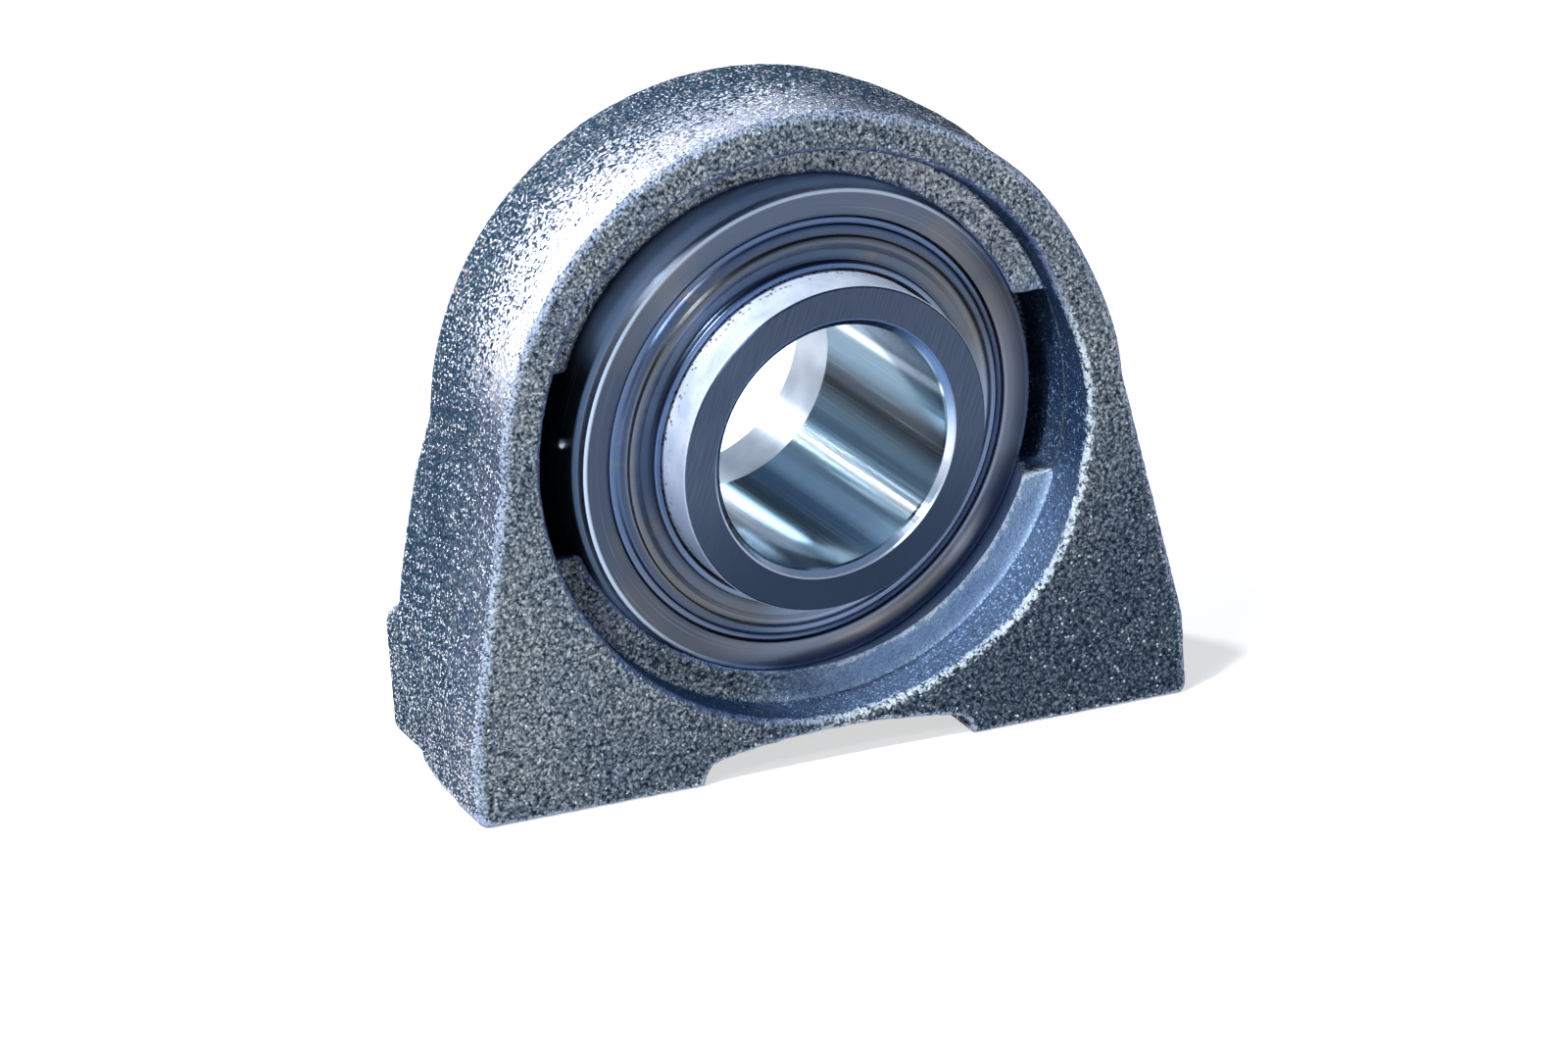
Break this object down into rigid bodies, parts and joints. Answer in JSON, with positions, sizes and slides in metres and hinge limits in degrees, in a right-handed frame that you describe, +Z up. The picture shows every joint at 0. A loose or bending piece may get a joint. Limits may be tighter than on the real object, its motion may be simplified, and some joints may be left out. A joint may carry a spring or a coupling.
{
  "type": "pillow block bearing",
  "caption": "Short pillow block: cast housing with tapped feet and a spherical seat holding a self-aligning ball bearing insert with seals, wide inner ring and plain bore.",
  "frame": {"origin": "on the base plane, under the bearing centre and midway between the two tapped holes", "axes": "+X along the base, +Y to the back, +Z up from the base; the loading slots and the deep recess are at the front, -Y"},
  "size_m": [0.114, 0.0554, 0.1],
  "materials": {
    "housing": "rough cast, bluish grey",
    "outer_ring": "fine ground",
    "inner_ring": "fine ground, polished bore",
    "ball": "polished",
    "cage": "pressed sheet",
    "rivet": "plain",
    "seal_cap": "pressed sheet, satin",
    "seal_lip": "matte",
    "pin": "plain"
  },
  "bodies": {
    "housing": {"housing": "housing"},
    "swivel_pin": {"locking_pin": "pin"},
    "outer": {"outer_ring": "outer_ring", "front_seal_cap": "seal_cap", "front_seal_lip": "seal_lip", "rear_seal_cap": "seal_cap", "rear_seal_lip": "seal_lip"},
    "inner": {"inner_ring": "inner_ring"},
    "cage": {"cage_front": "cage", "cage_rear": "cage", "cage_rivets": "rivet"},
    "rolling_ball_1": {"ball_1": "ball"},
    "rolling_ball_2": {"ball_2": "ball"},
    "rolling_ball_3": {"ball_3": "ball"},
    "rolling_ball_4": {"ball_4": "ball"},
    "rolling_ball_5": {"ball_5": "ball"},
    "rolling_ball_6": {"ball_6": "ball"},
    "rolling_ball_7": {"ball_7": "ball"},
    "rolling_ball_8": {"ball_8": "ball"},
    "rolling_ball_9": {"ball_9": "ball"}
  },
  "joints": [
    {"name": "insert_yaw", "type": "hinge", "parent": "housing", "child": "swivel_pin", "pos_m": [0, 0, 0.0502], "axis": [0, 0, 1], "range_deg": [-17.3, 2.7]},
    {"name": "insert_pitch", "type": "hinge", "parent": "swivel_pin", "child": "outer", "pos_m": [0, 0, 0.0502], "axis": [0.9275, 0.3591, -0.1036], "range_deg": [-15.8, 4.2]},
    {"name": "inner_spin", "type": "hinge", "parent": "outer", "child": "inner", "pos_m": [0, 0, 0.0502], "axis": [0.1264, -0.9868, -0.1011], "continuous": true},
    {"name": "cage_spin", "type": "hinge", "parent": "outer", "child": "cage", "pos_m": [0, 0, 0.0502], "axis": [0.1264, -0.9868, -0.1011], "continuous": true},
    {"name": "ball_1_spin", "type": "hinge", "parent": "cage", "child": "rolling_ball_1", "pos_m": [0.02976, 0.00381, 0.0502], "axis": [0.1264, -0.9868, -0.1011], "continuous": true},
    {"name": "ball_2_spin", "type": "hinge", "parent": "cage", "child": "rolling_ball_2", "pos_m": [0.02304, 0.00099, 0.06938], "axis": [0.1264, -0.9868, -0.1011], "continuous": true},
    {"name": "ball_3_spin", "type": "hinge", "parent": "cage", "child": "rolling_ball_3", "pos_m": [0.00555, -0.0023, 0.07959], "axis": [0.1264, -0.9868, -0.1011], "continuous": true},
    {"name": "ball_4_spin", "type": "hinge", "parent": "cage", "child": "rolling_ball_4", "pos_m": [-0.01454, -0.00451, 0.07605], "axis": [0.1264, -0.9868, -0.1011], "continuous": true},
    {"name": "ball_5_spin", "type": "hinge", "parent": "cage", "child": "rolling_ball_5", "pos_m": [-0.02783, -0.00461, 0.06041], "axis": [0.1264, -0.9868, -0.1011], "continuous": true},
    {"name": "ball_6_spin", "type": "hinge", "parent": "cage", "child": "rolling_ball_6", "pos_m": [-0.02809, -0.00255, 0.03999], "axis": [0.1264, -0.9868, -0.1011], "continuous": true},
    {"name": "ball_7_spin", "type": "hinge", "parent": "cage", "child": "rolling_ball_7", "pos_m": [-0.01521, 0.0007, 0.02435], "axis": [0.1264, -0.9868, -0.1011], "continuous": true},
    {"name": "ball_8_spin", "type": "hinge", "parent": "cage", "child": "rolling_ball_8", "pos_m": [0.00479, 0.00362, 0.02081], "axis": [0.1264, -0.9868, -0.1011], "continuous": true},
    {"name": "ball_9_spin", "type": "hinge", "parent": "cage", "child": "rolling_ball_9", "pos_m": [0.02255, 0.00485, 0.03102], "axis": [0.1264, -0.9868, -0.1011], "continuous": true}
  ],
  "couplings": [
    {"joint": "cage_spin", "follows": "inner_spin", "ratio": 0.4},
    {"joint": "ball_1_spin", "follows": "inner_spin", "ratio": -2.4},
    {"joint": "ball_2_spin", "follows": "inner_spin", "ratio": -2.4},
    {"joint": "ball_3_spin", "follows": "inner_spin", "ratio": -2.4},
    {"joint": "ball_4_spin", "follows": "inner_spin", "ratio": -2.4},
    {"joint": "ball_5_spin", "follows": "inner_spin", "ratio": -2.4},
    {"joint": "ball_6_spin", "follows": "inner_spin", "ratio": -2.4},
    {"joint": "ball_7_spin", "follows": "inner_spin", "ratio": -2.4},
    {"joint": "ball_8_spin", "follows": "inner_spin", "ratio": -2.4},
    {"joint": "ball_9_spin", "follows": "inner_spin", "ratio": -2.4}
  ]
}
